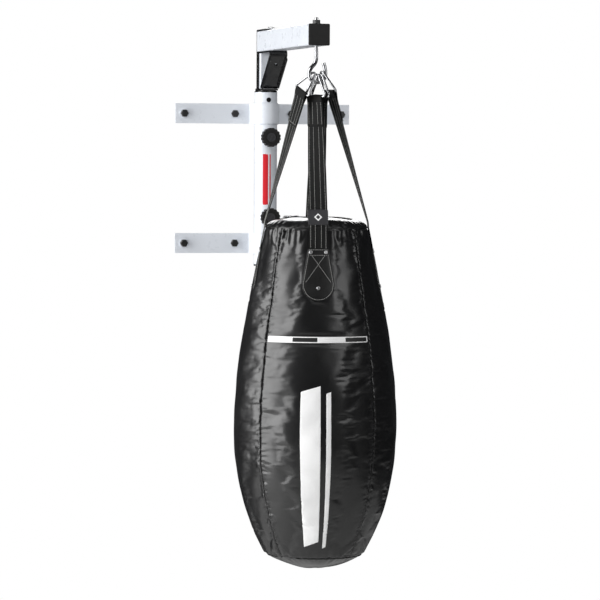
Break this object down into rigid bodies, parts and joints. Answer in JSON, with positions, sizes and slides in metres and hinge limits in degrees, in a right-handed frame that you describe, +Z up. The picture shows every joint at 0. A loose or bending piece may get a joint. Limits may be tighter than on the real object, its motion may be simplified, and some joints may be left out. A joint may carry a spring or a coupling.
{
  "type": "uppercut bag",
  "caption": "Tapered uppercut punching bag hung by webbing straps and rings from the hook of a swivelling, height-adjustable wall bracket arm.",
  "frame": {"origin": "centre of the outer lag bolt pattern, on the wall plane behind the two wall straps", "axes": "+X to the right along the wall, -Y straight out of the wall along the arm, +Z up"},
  "size_m": [0.45, 0.7563, 1.3058],
  "materials": {
    "white_paint": "gloss powder coat",
    "black_paint": "gloss paint",
    "black_oxide": "satin black oxide",
    "zinc": "bright zinc plate",
    "chrome_wire": "polished",
    "black_plastic": "satin moulded",
    "bushing_plastic": "satin",
    "pad_brass": "satin",
    "webbing": "woven nylon",
    "badge_rubber": "matt",
    "vinyl": "glossy coated vinyl",
    "patch_leather": "smooth",
    "label_print": "printed",
    "foam": "closed-cell foam",
    "fill": "packed textile",
    "zip_tape": "woven tape"
  },
  "bodies": {
    "wall_bracket": {"wall_strap_upper": "white_paint", "wall_strap_lower": "white_paint", "lag_bolts": "black_oxide", "lag_washers": "black_oxide", "receiver_tube": "white_paint", "lower_guide_bushing": "bushing_plastic", "upper_guide_bushing": "bushing_plastic", "guide_screw": "black_oxide", "receiver_bottom_cap": "black_plastic", "weld_nut_upper": "white_paint", "weld_nut_lower": "white_paint"},
    "upper_clamp": {"clamp_pad_upper": "pad_brass"},
    "upper_knob": {"knob_stud_upper": "zinc", "lock_knob_upper": "black_plastic", "knob_insert_upper": "black_plastic"},
    "lower_clamp": {"clamp_pad_lower": "pad_brass"},
    "lower_knob": {"knob_stud_lower": "zinc", "lock_knob_lower": "black_plastic", "knob_insert_lower": "black_plastic"},
    "mast": {"mast_tube": "zinc", "mast_collar": "black_plastic"},
    "arm_head": {"swivel_stem": "zinc", "hub_plate": "black_paint", "back_channel": "black_paint", "head_post": "white_paint", "brace": "black_paint", "arm_tube": "white_paint", "arm_end_cap": "black_plastic", "head_bolt": "black_oxide", "head_nut": "black_oxide", "shelf_bolt": "zinc", "shelf_nut": "zinc", "hook_washer": "zinc"},
    "hook": {"hook": "chrome_wire", "hook_nut": "zinc"},
    "bag": {"ring_front": "chrome_wire", "ring_left": "chrome_wire", "ring_back": "chrome_wire", "ring_right": "chrome_wire", "strap_front": "webbing", "strap_left": "webbing", "strap_back": "webbing", "strap_right": "webbing", "strap_badge": "badge_rubber", "gore_front": "vinyl", "gore_left": "vinyl", "gore_back": "vinyl", "gore_right": "vinyl", "top_panel": "vinyl", "bottom_panel": "vinyl", "foam_liner": "foam", "fill_core": "fill", "patch_front": "patch_leather", "patch_left": "patch_leather", "patch_back": "patch_leather", "patch_right": "patch_leather", "patch_rivets": "zinc", "label_strip": "label_print", "closure_zip": "zip_tape"}
  },
  "joints": [
    {"name": "height_slide", "type": "slide", "parent": "wall_bracket", "child": "mast", "axis": [0, 0, 1], "range_m": [0, 0.1]},
    {"name": "arm_swivel", "type": "hinge", "parent": "mast", "child": "arm_head", "pos_m": [0, -0.0335, 0.22], "axis": [0, 0, 1], "range_deg": [-60, 60]},
    {"name": "hook_swivel", "type": "hinge", "parent": "arm_head", "child": "hook", "pos_m": [0, -0.5155, 0.36], "axis": [0, 0, 1], "continuous": true},
    {"name": "bag_swing", "type": "hinge", "parent": "hook", "child": "bag", "pos_m": [0.00292, -0.51618, 0.25], "axis": [0.225, 0.9744, 0], "range_deg": [-20, 20]},
    {"name": "upper_clamp_slide", "type": "slide", "parent": "wall_bracket", "child": "upper_clamp", "axis": [0, -1, 0], "range_m": [0, 0.0046]},
    {"name": "upper_knob_turn", "type": "hinge", "parent": "upper_clamp", "child": "upper_knob", "pos_m": [0, -0.0835, 0.103], "axis": [0, -1, 0], "range_deg": [0, 1080]},
    {"name": "lower_clamp_slide", "type": "slide", "parent": "wall_bracket", "child": "lower_clamp", "axis": [0, -1, 0], "range_m": [0, 0.0046]},
    {"name": "lower_knob_turn", "type": "hinge", "parent": "lower_clamp", "child": "lower_knob", "pos_m": [0, -0.0835, -0.097], "axis": [0, -1, 0], "range_deg": [0, 1080]}
  ],
  "couplings": [
    {"joint": "upper_clamp_slide", "follows": "upper_knob_turn", "m_per_rad": 0.00023873},
    {"joint": "lower_clamp_slide", "follows": "lower_knob_turn", "m_per_rad": 0.00023873}
  ]
}
